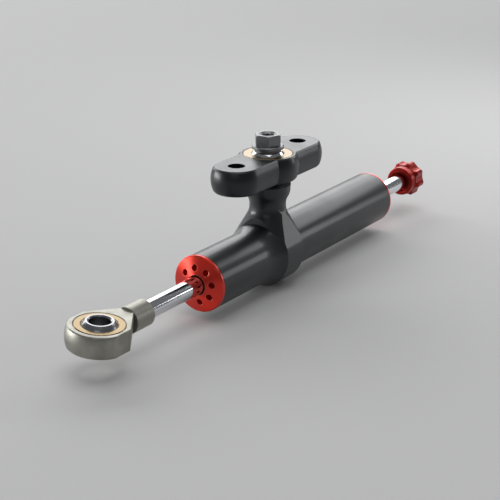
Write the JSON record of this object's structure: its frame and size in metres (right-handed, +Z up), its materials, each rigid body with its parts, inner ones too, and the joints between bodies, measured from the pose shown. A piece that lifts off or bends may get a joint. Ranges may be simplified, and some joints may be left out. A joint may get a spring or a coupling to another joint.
{
  "type": "steering_damper",
  "caption": "Through-rod oil damper for steering: black tube with red end caps, chromed rod, spherical rod end, lobed adjuster knob and a swivelling bolt-on flange on a post",
  "frame": {"origin": "Centre of the mounting face of the flange, midway between its two bolt holes and on the swivel axis", "axes": "+X along the rod from the rod end to the adjuster knob, +Z up out of the mounting face, +Y completes the right-handed set"},
  "size_m": [0.3061, 0.034, 0.0768],
  "materials": {
    "black_anodised": "satin black anodised aluminium",
    "red_anodised": "turned red anodised aluminium",
    "hard_chrome": "ground and polished hard chrome",
    "plated_steel": "satin nickel plated steel",
    "ball_steel": "polished bearing steel",
    "dark_steel": "dark plated steel",
    "plain_aluminium": "turned bare aluminium",
    "bearing_bronze": "machined bearing bronze",
    "seal_rubber": "black nitrile rubber",
    "guide_polymer": "filled PTFE"
  },
  "bodies": {
    "flange": {"mount_flange": "black_anodised", "mount_race": "bearing_bronze"},
    "damper": {"damper_body": "black_anodised", "front_cap": "red_anodised", "rear_cap": "red_anodised", "front_bush": "bearing_bronze", "rear_bush": "bearing_bronze", "front_rod_seal": "guide_polymer", "rear_rod_seal": "guide_polymer", "front_wiper": "seal_rubber", "rear_wiper": "seal_rubber", "gland_clips": "dark_steel", "front_cap_ring": "seal_rubber", "rear_cap_ring": "seal_rubber", "mount_ball": "ball_steel", "mount_washer": "dark_steel", "mount_bolt": "dark_steel"},
    "piston": {"piston": "plain_aluminium", "piston_ring": "guide_polymer"},
    "rod": {"piston_rod": "hard_chrome", "piston_clips": "dark_steel", "rod_end": "plated_steel", "eye_race": "bearing_bronze"},
    "adjuster": {"knob": "red_anodised", "knob_screw": "dark_steel", "detent_plunger": "dark_steel", "adjuster_needle": "dark_steel", "needle_ring": "seal_rubber"},
    "eye": {"eye_ball": "ball_steel"}
  },
  "joints": [
    {"name": "swivel", "type": "hinge", "parent": "flange", "child": "damper", "pos_m": [0, 0, -0.00625], "axis": [0, 0, 1], "continuous": true},
    {"name": "rod_slide", "type": "slide", "parent": "damper", "child": "piston", "axis": [1, 0, 0], "range_m": [-0.0334, 0.0397]},
    {"name": "rod_spin", "type": "hinge", "parent": "piston", "child": "rod", "pos_m": [0, 0, -0.05], "axis": [1, 0, 0], "continuous": true},
    {"name": "adjuster_turn", "type": "hinge", "parent": "rod", "child": "adjuster", "pos_m": [0.145, 0, -0.05], "axis": [1, 0, 0], "range_deg": [-135, 135]},
    {"name": "eye_swivel", "type": "hinge", "parent": "rod", "child": "eye", "pos_m": [-0.1359, 0, -0.05], "axis": [0, -0.0958, 0.9954], "continuous": true}
  ]
}
